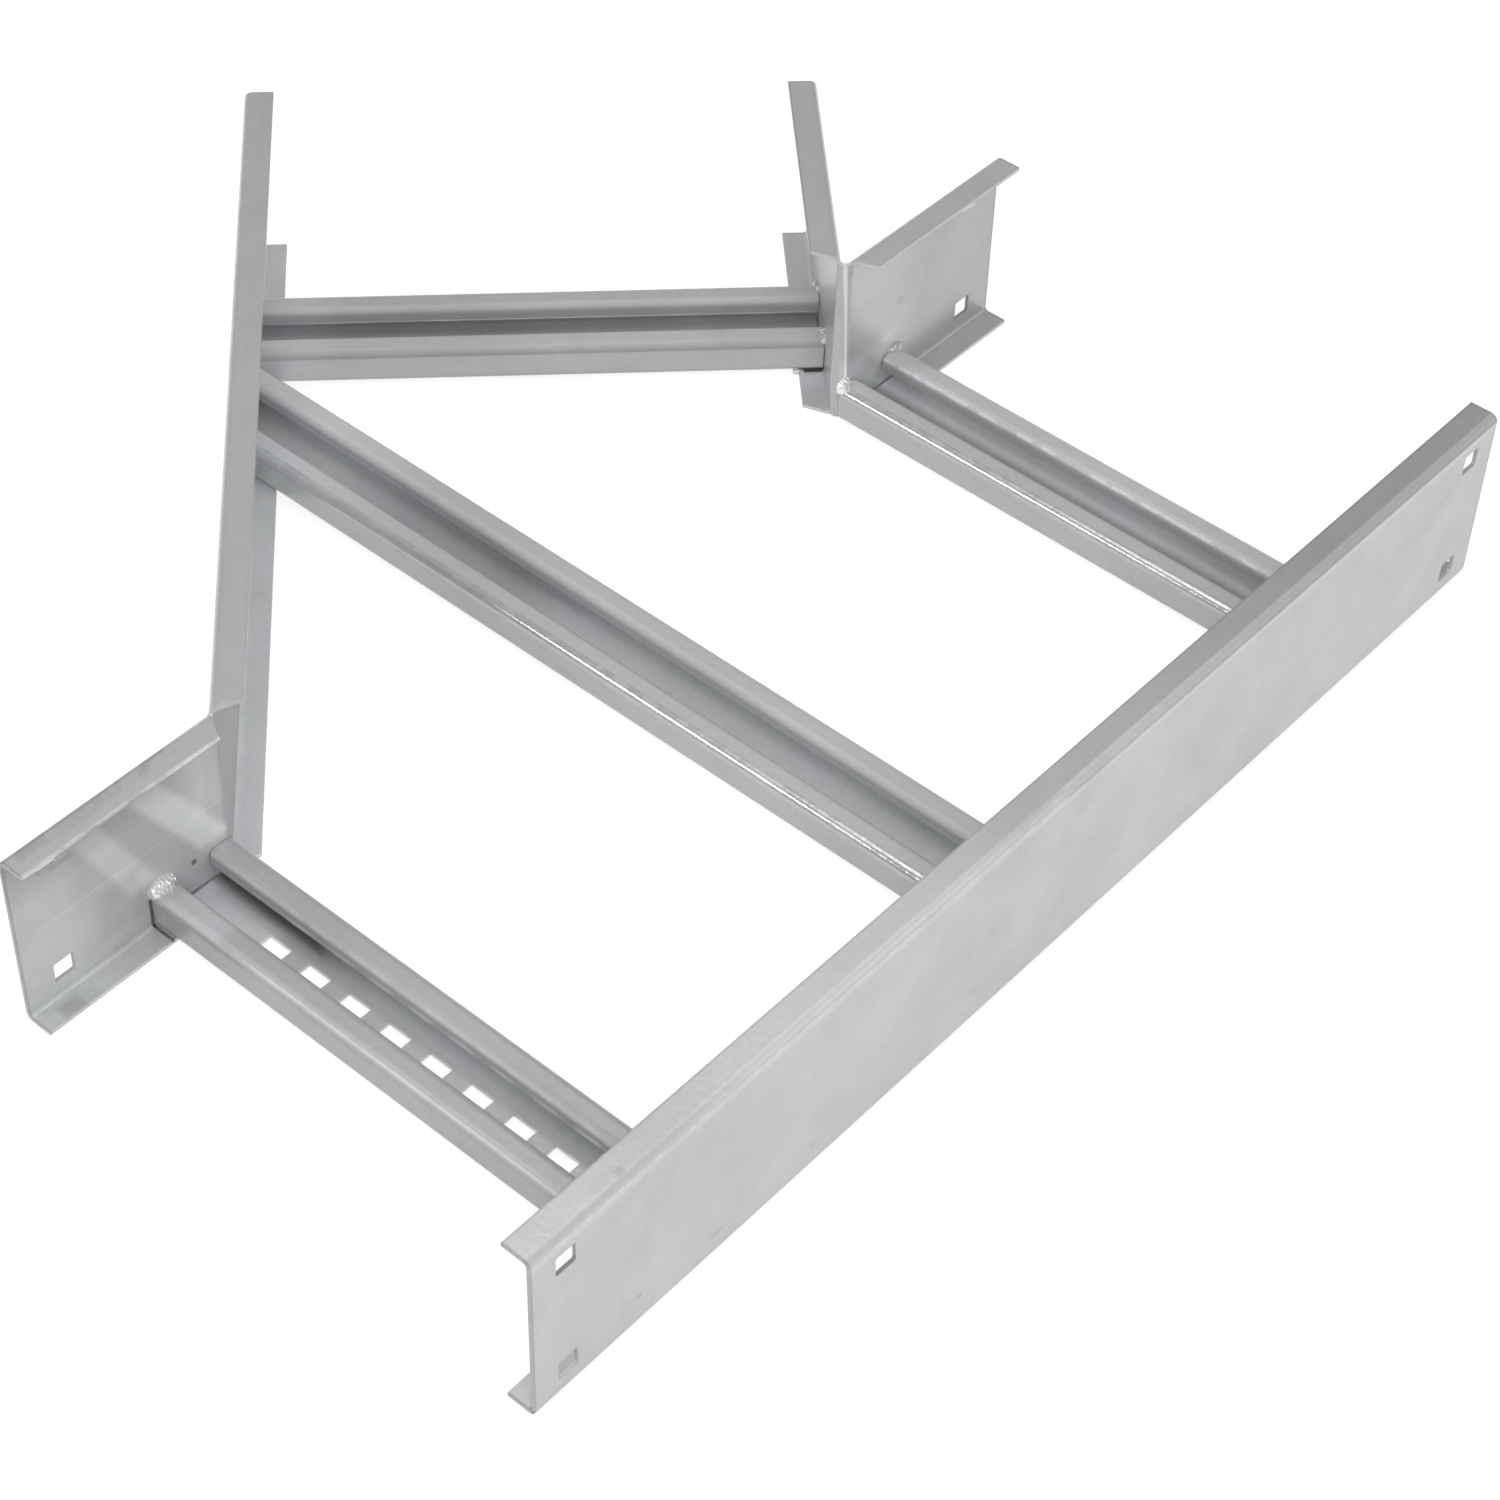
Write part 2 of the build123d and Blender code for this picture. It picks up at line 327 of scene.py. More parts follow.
def noise(tree, place, scale, detail=2.0, **more):
    """A noise pattern's value, from 0 to 1 around 0.5."""
    inputs = {"Vector": place, "Scale": scale, "Detail": detail}
    return add(tree, "ShaderNodeTexNoise", {**inputs, **more}).outputs["Fac"]


def ramp(tree, value, low, high, to_low=0.0, to_high=1.0, kind="SMOOTHSTEP"):
    """Turns the range from low to high of a value into another range, and clamps it."""
    inputs = {"Value": value, "From Min": low, "From Max": high,
              "To Min": to_low, "To Max": to_high}
    return add(tree, "ShaderNodeMapRange", inputs, interpolation_type=kind).outputs[0]


def swing(tree, value, low, high):
    """Turns the range where noise mostly lies into a range from low to high."""
    return ramp(tree, value, *NOISE_RANGE, low, high, "LINEAR")


print("Noise helpers are ready")

# %% The zinc group
ZINC_BLUISH = (0.658, 0.668, 0.684, 1.0)
ZINC_GREENISH = (0.658, 0.671, 0.674, 1.0)
CLOUDS_PER_METRE = 22.0
GRAINS_PER_METRE = 420.0
WAVES_PER_METRE = 260.0
SMUDGES_PER_METRE = 31.0
HUES_PER_METRE = 16.0
STREAKS = (5.0, 320.0, 320.0)  # per metre along, across and up a leg
ZINC_ROUGHNESS = (0.295, 0.375)
CLOUD_LIGHT = (-0.055, 0.045)  # what each pattern adds to the brightness, from and to
GRAIN_LIGHT = (-0.022, 0.022)
STREAK_LIGHT = (-0.012, 0.012)
STREAK_ROUGHNESS = (-0.015, 0.015)
SMUDGE_EDGE = (0.66, 0.78)  # where a smudge fades in, as a level of its noise
SMUDGE_DARKENS = 0.06
HUE_EDGE = (0.42, 0.58)
GRAINS_IN_BUMP = 0.35  # the rest of the bump is waves


def zinc_group():
    """Place along a sheet in, colour, roughness and bump height out."""
    tree = bpy.data.node_groups.new("zinc", "ShaderNodeTree")
    face = tree.interface
    face.new_socket("Place", in_out="INPUT", socket_type="NodeSocketVector")
    face.new_socket("Colour", in_out="OUTPUT", socket_type="NodeSocketColor")
    face.new_socket("Roughness", in_out="OUTPUT", socket_type="NodeSocketFloat")
    face.new_socket("Height", in_out="OUTPUT", socket_type="NodeSocketFloat")
    place = add(tree, "NodeGroupInput").outputs["Place"]

    clouds = noise(tree, place, CLOUDS_PER_METRE, 4.0, Roughness=0.6, Distortion=0.6)
    grains = noise(tree, place, GRAINS_PER_METRE, 2.0)
    streaks = noise(tree, on_vectors(tree, "MULTIPLY", place, STREAKS), 1.0, 3.0)
    patches = noise(tree, place, SMUDGES_PER_METRE, 3.0, Distortion=1.0)
    smudges = calculate(tree, "MULTIPLY", ramp(tree, patches, *SMUDGE_EDGE), SMUDGE_DARKENS)

    light = calculate(tree, "ADD", swing(tree, clouds, *CLOUD_LIGHT),
                      swing(tree, grains, *GRAIN_LIGHT))
    light = calculate(tree, "ADD", light, swing(tree, streaks, *STREAK_LIGHT))
    light = calculate(tree, "SUBTRACT", light, smudges)
    factor = calculate(tree, "ADD", light, 1.0)
    hue = ramp(tree, noise(tree, place, HUES_PER_METRE, 2.0), *HUE_EDGE)
    colour = scaled_by(tree, mixed(tree, "RGBA", hue, ZINC_BLUISH, ZINC_GREENISH), factor)

    smoothest, roughest = ZINC_ROUGHNESS
    rough = swing(tree, clouds, roughest, smoothest)  # pale clouds are the smoother ones
    rough = calculate(tree, "ADD", rough, swing(tree, streaks, *STREAK_ROUGHNESS))
    waves = noise(tree, place, WAVES_PER_METRE, 1.0)
    bump = calculate(tree, "ADD", calculate(tree, "MULTIPLY", grains, GRAINS_IN_BUMP),
                     calculate(tree, "MULTIPLY", waves, 1 - GRAINS_IN_BUMP))
    add(tree, "NodeGroupOutput", {"Colour": colour, "Roughness": rough, "Height": bump})
    return tree


zinc = zinc_group()
print("Zinc group has", len(zinc.nodes), "nodes")

# %% [markdown]
# ## Marks in the zinc
#
# Steel keeps traces of its making, such as scratches and smudges, and a cut end is darker.
# Most marks, though, paint light and shade into the zinc: painted highlight lines and
# painted shade along bends and rims, painted shade in corners, and painted reflections in
# the webs. Some bends are also made duller. An image would need a flat pattern of each
# folded sheet. A soft box in the sheet's own frame needs none: the group below measures how
# far a place lies in such a box, and a mark says what happens to the zinc there. Slant
# leans a box along the leg as it rises, and Breaks lets noise tear gaps in it, as in a
# broken painted highlight line or a patchy smudge.

# %% The mark group
BREAKS_PER_METRE = 110.0
BREAK_EDGE = (0.46, 0.54)


def mark_group():
    """How far a place lies in a soft box, from 0 outside to 1 inside. Sizes in millimetres."""
    tree = bpy.data.node_groups.new("mark", "ShaderNodeTree")
    face = tree.interface
    for name in ("Place", "Centre", "Half Size", "Softness"):
        face.new_socket(name, in_out="INPUT", socket_type="NodeSocketVector")
    for name in ("Slant", "Breaks"):
        face.new_socket(name, in_out="INPUT", socket_type="NodeSocketFloat")
    face.new_socket("Amount", in_out="OUTPUT", socket_type="NodeSocketFloat")
    given = add(tree, "NodeGroupInput").outputs

    in_mm = scaled_by(tree, given["Place"], 1 / MM)
    off = on_vectors(tree, "SUBTRACT", in_mm, given["Centre"])
    parts = add(tree, "ShaderNodeSeparateXYZ", {0: off}).outputs
    leaning = calculate(tree, "MULTIPLY", given["Slant"], parts["Z"])
    upright = calculate(tree, "SUBTRACT", parts["X"], leaning)
    straightened = {"X": upright, "Y": parts["Y"], "Z": parts["Z"]}
    off = add(tree, "ShaderNodeCombineXYZ", straightened).outputs[0]
    past = on_vectors(tree, "SUBTRACT", on_vectors(tree, "ABSOLUTE", off), given["Half Size"])
    outside = on_vectors(tree, "DIVIDE", past, given["Softness"])
    sides = add(tree, "ShaderNodeSeparateXYZ", {0: outside}).outputs
    farthest = calculate(tree, "MAXIMUM", calculate(tree, "MAXIMUM", sides["X"], sides["Y"]),
                         sides["Z"])
    inside = ramp(tree, farthest, 0.0, 1.0, 1.0, 0.0)
    gaps = ramp(tree, noise(tree, given["Place"], BREAKS_PER_METRE, 2.0), *BREAK_EDGE)
    left = calculate(tree, "SUBTRACT", 1.0, calculate(tree, "MULTIPLY", given["Breaks"], gaps))
    add(tree, "NodeGroupOutput", {"Amount": calculate(tree, "MULTIPLY", inside, left)})
    return tree


mark_box = mark_group()


def mark(centre, half_size, softness, colour=1.0, rough=0.0, metal=0.0, frame_number=0, **more):
    """A soft box in a sheet's frame, with what it does to the zinc there.

    Colour is a factor. Rough and metal are added. Sizes are in millimetres.
    """
    box = {"Centre": centre, "Half Size": half_size, "Softness": softness, **more}
    return {"box": box, "colour": colour, "rough": rough, "metal": metal, "frame": frame_number}


print("Mark group has", len(mark_box.nodes), "nodes")

# %% [markdown]
# ## The sheets
#
# Each sheet gets one material. A straight sheet has one frame and a folded rail has two,
# and each mark says which of them it is given in. The clouds and streaks of the left rail
# turn with its fold, whose place along the run tells the legs apart. Both legs of the
# right rail lie past its fold, so there they follow the branch. The cut edges of real
# sheet are never sharp: zinc rounds them. The CAD mesh stays as it is, and a Bevel node
# rounds only how its edges take the light.

# %% Frames and marks in a material
METALLIC = 0.42  # the share of bare metal, where no mark changes it


def place_in(tree, place, matrix):
    """The place in a frame whose matrix is given, in metres from the frame's start."""
    inverse = matrix.inverted() * MM
    axes = [Vector(inverse[row][:3]) for row in range(3)]
    centred = on_vectors(tree, "SUBTRACT", place, tuple(matrix.translation))
    parts = []
    for axis in axes:
        product = add(tree, "ShaderNodeVectorMath", {0: centred, 1: tuple(axis)},
                      operation="DOT_PRODUCT")
        parts.append(product.outputs["Value"])
    return add(tree, "ShaderNodeCombineXYZ", dict(enumerate(parts))).outputs[0]


def with_marks(tree, places, marks, colour, rough):
    """Lays the marks over a colour and a roughness, and gives a metallic share too."""
    metal = METALLIC
    for each in marks:
        group = add(tree, "ShaderNodeGroup", node_tree=mark_box)
        tree.links.new(places[each["frame"]], group.inputs["Place"])
        for name, value in each["box"].items():
            group.inputs[name].default_value = value
        amount = group.outputs["Amount"]
        factor = calculate(tree, "MULTIPLY_ADD", amount, each["colour"] - 1.0, 1.0)
        colour = scaled_by(tree, colour, factor)
        rough = calculate(tree, "MULTIPLY_ADD", amount, each["rough"], rough)
        metal = calculate(tree, "MULTIPLY_ADD", amount, each["metal"], metal)
    return colour, rough, metal


print("Frames and marks can be laid in a material")

# %% Material of a sheet
EDGE_ROUNDING = 0.0006  # in metres
BUMP_DEPTH = 0.00012  # in metres


def sheet_material(name, frames, fold_x=None, marks=()):
    """Zinc that follows one frame, or two that part at a fold."""
    material = bpy.data.materials.new(name)
    material.use_nodes = True
    tree = material.node_tree
    tree.nodes.clear()
    spot = add(tree, "ShaderNodeTexCoord").outputs["Object"]
    places = [place_in(tree, spot, matrix) for matrix in frames]
    place = places[0]
    if fold_x is not None:
        x = add(tree, "ShaderNodeSeparateXYZ", {0: spot}).outputs["X"]
        past = calculate(tree, "GREATER_THAN", x, fold_x)
        place = mixed(tree, "VECTOR", past, places[0], places[1])
    finish = add(tree, "ShaderNodeGroup", node_tree=zinc)
    tree.links.new(place, finish.inputs["Place"])
    colour, rough, metal = with_marks(tree, places, marks, finish.outputs["Colour"],
                                      finish.outputs["Roughness"])
    rounded = add(tree, "ShaderNodeBevel", {"Radius": EDGE_ROUNDING}, samples=4).outputs[0]
    bump = {"Height": finish.outputs["Height"], "Strength": 1.0, "Distance": BUMP_DEPTH}
    normal = add(tree, "ShaderNodeBump", {**bump, "Normal": rounded}).outputs[0]
    look = {"Base Color": colour, "Metallic": metal, "Roughness": rough, "Normal": normal}
    shader = add(tree, "ShaderNodeBsdfPrincipled", look)
    add(tree, "ShaderNodeOutputMaterial", {"Surface": shader.outputs[0]})
    return material


print("A sheet's edges take the light as if rounded by", EDGE_ROUNDING / MM, "mm")

# %% [markdown]
# ## Where the rungs lie
#
# A rung is a channel that is open upwards, with two lips turned inwards and down. Its
# frame runs along the rung from its start, then across it towards the near side, where
# the camera is, and up. Three rungs start at the straight rail and cross the run. The
# fourth starts at the right branch rail and crosses the branch, close to where the long
# rung ends. Their places follow from the folds, as they do in the CAD model.

# %% Places of the rungs, in millimetres
FIT_GAP = 2.5  # from a web's outer face to a rung's end
PAST_FOLD = 3.0  # how far the slotted rung reaches past the left fold
CORNER_GAP = 3.5  # between the long rung's corner and the branch rung
ACROSS_RUN = ((0.0, 1.0), (-1.0, 0.0))
ACROSS_BRANCH = ((-DIAGONAL, DIAGONAL), (-DIAGONAL, -DIAGONAL))
half_rung = RUNG_WIDTH / 2
slotted_x = LEFT_STUB + PAST_FOLD - half_rung
end_x = RIGHT_FOLD + half_rung
long_x = (slotted_x + end_x) / 2
long_side = long_x + half_rung
long_corner = ((long_side - LEFT_STUB) * DIAGONAL - FIT_GAP) / DIAGONAL
branch_reach = (long_side - RIGHT_FOLD + long_corner) * DIAGONAL + CORNER_GAP + half_rung
branch_start = (RIGHT_FOLD + branch_reach * DIAGONAL, TRAY_WIDTH + branch_reach * DIAGONAL)
print("Rungs at", [round(v, 1) for v in (slotted_x, long_x, end_x, branch_reach)], "mm")

# %% [markdown]
# ## Marks that several sheets share
#
# Every rung has a floor, two lips, a near wall and four bends, and every rail has rims,
# cut ends and bolt holes. So these marks are written once, as functions where a place or
# a shade differs and as plain values where nothing does. Most of them paint light or shade:
# on floors, lips and walls, as darker rims, and as darker dull bends. The bends matter most:
# some mirror a lamp as a sharp white line, and others only glow, as they do in the photograph.

# %% Marks on bends
LONG = 600.0  # half the length of a mark that runs the whole way
PAST_ANY_LEG = 1000.0
BEND_INSET = 1.5  # of a bend's middle, from the rung's outer faces


def along_bend(across, up, start=-LONG, end=LONG, reach=2.4, **finish):
    """A mark along a bend, from start to end of its sheet."""
    middle, half = (start + end) / 2, (end - start) / 2
    return mark((middle, across, up), (half, reach, reach), (6.0, 0.8, 0.8), **finish)


near_bend = (half_rung - BEND_INSET, RUNG_TOP - BEND_INSET)
return_bend = (-11.5, RUNG_TOP - BEND_INSET)
return_ridge = (-11.2, RUNG_TOP - 1.2)
# sharp_shine only makes the near bend smoother and more metal. The two dull marks make a bend
# duller and paint it darker, as shade.
sharp_shine = along_bend(*near_bend, rough=-0.16, metal=0.2, Breaks=0.4)
dull_near_shaded = along_bend(*near_bend, rough=0.35, metal=-0.35, colour=0.76)
dull_return_shaded = along_bend(*return_bend, rough=0.35, metal=-0.4, colour=0.82)
print("Bends across a rung at", near_bend[0], "and", return_bend[0], "mm")

# %% Marks on rims and faces
LIP_MIDDLE = 17.0  # of a lip, from the rung's middle line


def leg_rim(across, up, reach, colour):
    """A rim of painted shade along a whole leg of a rail."""
    return along_bend(across, up, start=0.0, end=PAST_ANY_LEG, reach=reach, colour=colour)


def inside(colour, metal=0.0):
    """Painted light or shade on the floor inside a rung, as a colour factor."""
    return mark((0, 0, 2 * SHEET), (LONG, half_rung - 4, 1), (6, 2, 1.5), colour=colour,
                metal=metal)


def lip(side, colour):
    """Painted light or shade on the top of the near lip (side 1) or the far one (side -1)."""
    return mark((0, side * LIP_MIDDLE, RUNG_TOP), (LONG, 4, 0.8), (6, 2, 0.8), colour=colour)


def cut_end(x, **more):
    """The sawn end of a rail, a little darker."""
    return mark((x, 8, RAIL_HEIGHT / 2), (0.5, 9, 60), (0.5, 1, 1), colour=0.72, **more)


def hole_walls(x, z, **more):
    """The cut walls of a square bolt hole, which lie in their own shade."""
    return mark((x, SHEET / 2, z), (6.2, 0.5, 6.2), (0.3, 0.5, 0.3), colour=0.6, metal=-0.3,
                **more)


# painted shade along the foot of a rung's near wall and along its far outer bend
rung_shade_rims = [
    along_bend(half_rung - 1.0, SHEET + 1.0, reach=1.4, colour=0.86),
    along_bend(0.6 - half_rung, RUNG_TOP - 0.6, reach=1.0, colour=0.84),
]
# painted shade along the rails' bottom bends and along the free edge of a top flange
outer_shade_rim = leg_rim(-0.2, 1.2, 1.8, 0.5)
rail_shade_rims = [leg_rim(0.4, 0.4, 1.2, 0.78), leg_rim(RAIL_FLANGE, RAIL_HEIGHT - 0.5, 0.5, 0.84)]
# painted shade over the far lip's return face and over the near wall, which are also less metal
return_face_shade = mark((0, -10, RUNG_TOP - 5.5), (LONG, 1, 2.5), (6, 0.5, 1.5), colour=0.82,
                   metal=-0.15)
near_wall_shade = mark((0, half_rung, RUNG_TOP / 2 + 1), (LONG, 1, 7), (6, 1, 2), colour=0.92,
                 metal=-0.25)
print("A rung has", len(rung_shade_rims), "rims, a rail", len(rail_shade_rims))

# %% [markdown]
# ## The marks of each sheet
#
# Here the marks stand where the photograph has them, in the order in which they are laid.
# A place on a rail reads as: along the leg from its fold, off the web, up. A place on a
# rung reads as: along it from its start, across it, up. Then come the half size and the
# softness of the box. On a folded rail, frame_number picks the leg: 0 is the left stub
# or the right branch, and 1 is the left branch or the right stub.
#
# The straight rail turns the outside of its web to the camera. Its top bend is duller to
# the right, with a thin painted highlight line below it, and its top flange is painted
# paler on the left and greyer on the right, as it mirrors the room.

# %% Marks of the straight rail
straight_rail_marks = [
    *rail_shade_rims,
    outer_shade_rim,
    cut_end(0),
    cut_end(RUN_LENGTH),
    # the top bend, with a thin painted highlight line below it and painted light on the web
    # under the bend
    along_bend(1.0, 99.0, -10, 330, rough=0.12, metal=-0.2),
    along_bend(0.2, 96.6, -10, 330, reach=0.4, colour=1.2, Breaks=0.5),
    along_bend(1.0, 99.0, 330, 700, rough=0.3, metal=-0.36),
    mark((350, 0, 96.4), (LONG, 0.8, 2.4), (6, 0.8, 1.6), colour=1.12),
    # the top flange, painted greyer to the right and paler near the left end, as its reflection is
    mark((610, 8, 99), (60, 8.5, 2), (220, 1, 1), colour=0.77),
    hole_walls(19, 84),
    mark((190, 8, 100), (50, 8, 1.5), (70, 1, 1), colour=1.17),
    # small spots on the web and the flange
    mark((106, 0, 13.8), (2, 1, 0.8), (3, 1, 1.5), colour=0.86),
    mark((60, 0, 18.4), (0.6, 1, 0.6), (1.2, 1, 1.2), colour=0.78),
    mark((166, 0, 14), (1, 1, 0.5), (2, 1, 1), colour=0.88),
    mark((54, 5, 100), (1, 1, 1), (2, 2, 1), colour=0.86),
]
print("Marks on the straight rail:", len(straight_rail_marks))

# %% [markdown]
# The left branch rail shows the inside of its stub. The web mirrors the rung beside it
# in broad dark and pale parts, which are painted in here as reflections, along with painted
# shade and light on its rims and flanges. Noise can't know where those lie, so each of them
# is a wide box with a long soft edge.

# %% Broad painted shade and light of the left stub
left_stub_painted_shading = [
    rail_shade_rims[0],
    cut_end(LEFT_STUB),
    # the stub's web, a little duller, and its bottom flange, both painted a little paler
    mark((60, 2, 50), (62, 0.6, 44), (2, 0.6, 3), rough=0.15, metal=-0.3, colour=1.04),
    mark((60, 8, 2), (62, 9, 1), (2, 2, 0.6), colour=1.12),
    hole_walls(94.5, 16),
    # painted reflections: broad darker and paler parts of the stub's web
    mark((75, 2, 92), (40, 1, 6), (18, 1, 24), colour=0.82),
    mark((62, 2, 28), (8, 1, 10), (8, 1, 8), colour=0.86),
    mark((106, 2, 45), (14, 1, 40), (16, 1, 8), colour=1.13),
    mark((3, 2, 75), (8, 1, 22), (10, 1, 15), colour=1.12),
]
print("Shades on the left stub:", len(left_stub_painted_shading))

# %% [markdown]
# Past the fold, the same sheet runs away from the camera and is seen at a grazing angle,
# where smooth metal is almost a mirror. In the photograph it is flat and even there, so
# the next marks make it duller, paint its bottom flange paler and its lower bend darker,
# and paint the fold a little paler.

# %% Dulling, painted light and painted shade of the left branch leg and the fold
left_leg_painted_shading = [
    # painted light on the branch leg's bottom flange, a duller web, a duller lower bend in
    # painted shade, and then the fold, duller and painted a little paler
    mark((200, 8, 2), (260, 9, 1), (2, 2, 0.6), colour=1.45, frame_number=1),
    mark((225, 2, 50), (235, 1, 46), (4, 0.8, 1), rough=0.3, metal=-0.4, colour=0.98,
         frame_number=1),
    mark((225, 3, 3), (235, 1.6, 1.6), (4, 0.8, 0.8), rough=0.3, metal=-0.4, colour=0.87,
         frame_number=1),
    mark((1, 2, 50), (5, 5, 48), (3, 3, 2), rough=0.2, metal=-0.36, colour=1.08),
]
print("Shades on the left branch leg and the fold:", len(left_leg_painted_shading))

# %% [markdown]
# Now come the small traces on the stub, a dot, a scratch and smudges, and painted light:
# a painted highlight along the flange's edge, a painted glint and shade at a bolt hole, and
# the painted dark line where the slotted rung meets it. Two are larger. They are painted
# reflections of that rung's lips in the web, and they slant as the lips seem to.

# %% Traces and painted light on the left stub
left_stub_traces_and_painted_light = [
    # a painted highlight along the edge of the top flange, broken here and there
    along_bend(15.0, 99.3, 8, 116, reach=0.6, colour=1.35, Breaks=0.6),
    # a dark dot beside the rung, and one long scratch
    mark((19.2, 2, 21.8), (1.1, 1, 1.1), (0.5, 1, 0.5), colour=0.3, metal=-0.2),
    mark((52, 2, 47.4), (52, 1, 0.15), (3, 1, 0.5), colour=1.13),
    # the upper bolt hole, which shows under the flange as a painted pale glint, with painted
    # shade below it
    mark((92.2, 1.5, 81.0), (1.8, 2, 1.2), (0.6, 1, 0.5), colour=1.6, metal=-0.1),
    mark((88, 2, 77), (5, 1, 0.6), (3, 1, 1.5), colour=0.84),
    # smudges on the flanges
    mark((75, 3, 100), (42, 2, 1), (12, 6, 1), colour=0.84, Breaks=0.85),
    mark((80, 5, 100), (5, 3, 1), (8, 4, 1), colour=0.93),
    mark((100, 11, 2), (3, 2, 1), (5, 4, 1), colour=0.84),
    # two slanting pale bands, painted reflections of the slotted rung's lips in the web
    mark((24, 2, 55), (5, 1, 24), (7, 1, 9), colour=1.42, Slant=0.634),
    mark((61, 2, 56), (4, 1, 22), (7, 1, 9), colour=1.32, Slant=0.504),
    # painted shade: the dark line where the slotted rung meets the web and the flange, and the
    # shade above it
    mark((45.5, 2, 10), (0.5, 1, 8), (0.8, 1, 1.5), colour=0.25, metal=-0.3),
    mark((45.6, 8, 2), (0.4, 7, 0.6), (0.7, 1, 0.5), colour=0.25, metal=-0.3),
    mark((46, 2, 22), (3, 1, 5), (3, 1, 3), colour=0.88),
]
print("Traces on the left stub:", len(left_stub_traces_and_painted_light))

# %% [markdown]
# The right branch rail is seen from inside as well. A painted highlight line climbs its
# bend, and the web of its stub is painted paler by the rung and darker towards the end.

# %% Marks of the right branch rail
wall_by_branch_rung = branch_reach - half_rung
right_branch_rail_marks = [
    *rail_shade_rims,
    cut_end(BRANCH_REACH),
    cut_end(RIGHT_STUB, frame_number=1),
    # the fold, duller and painted a little paler, with a painted highlight line up its bend
    mark((1.5, 2, 50), (3.5, 4, 48), (2.5, 3, 2), rough=0.3, metal=-0.36, colour=1.1,
         frame_number=1),
    mark((3.5, 1.5, 61), (0.5, 1.2, 32), (0.5, 0.8, 9), colour=1.6, frame_number=1,
         Slant=-0.042),
    hole_walls(100, 16, frame_number=1),
    # painted light on the stub's web by the rung, and painted shade towards its end
    mark((22, 2, 18), (12, 1, 10), (16, 1, 14), colour=1.28, frame_number=1),
    mark((112, 2, 45), (30, 1, 42), (60, 1, 8), colour=0.86, frame_number=1),
    # the branch's bottom flange, painted paler, with a painted shadow line beside the branch rung
    mark((100, 8, 2), (60, 9, 1), (20, 2, 0.6), colour=1.2),
    mark((wall_by_branch_rung + 0.8, 8.5, 2), (1.1, 6, 0.6), (0.8, 1, 0.5), colour=0.15,
         metal=-0.4),
    # a faint smudge on the stub's web, and painted light at its upper bolt hole's edge
    mark((48, 2, 51.6), (1.5, 1, 1), (2.5, 1, 2), colour=0.9, frame_number=1),
    mark((99.6, 1, 80.0), (5.8, 2, 1.8), (0.4, 1, 0.4), colour=1.6, metal=-0.4,
         frame_number=1),
]
print("Marks on the right branch rail:", len(right_branch_rail_marks))

# %% [markdown]
# The rungs differ most in their floors, which mirror what stands above them, and that
# light and shade is painted into their colour. The slotted rung's floor is painted in deep
# shade by the left rail, and there its near bend is dull too.

# %% Marks of the slotted rung
slotted_rung_marks = [
    *rung_shade_rims,
    inside(1.12),
    # painted light and shade on the floor: pale under the far lip at first, then deep shade
    # by the left rail, and paler beside it
    mark((100, -15, 4), (110, 4, 1), (20, 6, 1.5), colour=1.2),
    mark((268, -17, 4), (30, 2, 1.5), (14, 6, 1.5), colour=0.37),
    mark((275, -2, 4), (18, 6, 1), (14, 3, 1.5), colour=1.25),
    lip(1, 0.9),
    lip(-1, 0.94),
    near_wall_shade,
    # painted shade over the near wall, deeper on this rung
    mark((0, half_rung, RUNG_TOP / 2), (LONG, 1, 8), (6, 1, 2), colour=0.86),
    return_face_shade,
    dull_return_shaded,
    # a thin painted highlight along the far lip's return bend, broken here and there
    along_bend(*return_ridge, reach=0.3, colour=1.15, Breaks=0.6),
    # the near bend, dull by the left rail, and a painted reflection there: a pale patch on the lip
    along_bend(*near_bend, -10, 240, rough=0.12, metal=-0.1),
    along_bend(*near_bend, 245, 400, rough=0.3, metal=-0.25),
    mark((273, LIP_MIDDLE, RUNG_TOP), (13, 5, 1), (8, 3, 1), colour=1.2),
]
print("Marks on the slotted rung:", len(slotted_rung_marks))

# %% [markdown]
# The long rung and the end rung mirror a lamp as a sharp line in their near bends. Their
# floors differ in painted light: the first is painted mostly pale, and the second only
# under its far lip.

# %% Marks of the long rung and the end rung
long_rung_marks = [
    *rung_shade_rims,
    inside(1.22, metal=-0.1),
    # painted light and shade on the floor: pale under the far lip, darker past the middle,
    # paler at the far end
    mark((0, -16, 4), (LONG, 4, 1), (6, 8, 1.5), colour=1.15),
    mark((445, -6, 4), (110, 6, 1), (50, 6, 1.5), colour=0.75),
    mark((510, 0, 12), (40, 26, 14), (90, 2, 2), colour=1.25),
    lip(1, 1.13),
    lip(-1, 1.13),
    near_wall_shade,
    return_face_shade,
    sharp_shine,
    dull_return_shaded,
]
end_rung_marks = [
    *rung_shade_rims,
    # painted shade on the floor, and painted light under the far lip
    inside(0.88),
    mark((0, -17, 4), (LONG, 4, 2), (6, 8, 2), colour=1.65, metal=-0.4),
    lip(1, 1.12),
    lip(-1, 1.2),
    near_wall_shade,
    return_face_shade,
    sharp_shine,
    dull_return_shaded,
    # a thin painted highlight along the far lip's return bend, broken here and there
    along_bend(*return_ridge, reach=0.3, colour=1.5, Breaks=0.6),
]
print("Marks on both rungs:", len(long_rung_marks), "and", len(end_rung_marks))

# %% [markdown]
# The branch rung lies across the branch, turned by 45 degrees from the others, so its
# near bend mirrors no lamp and only glows; it is made duller there and painted darker.

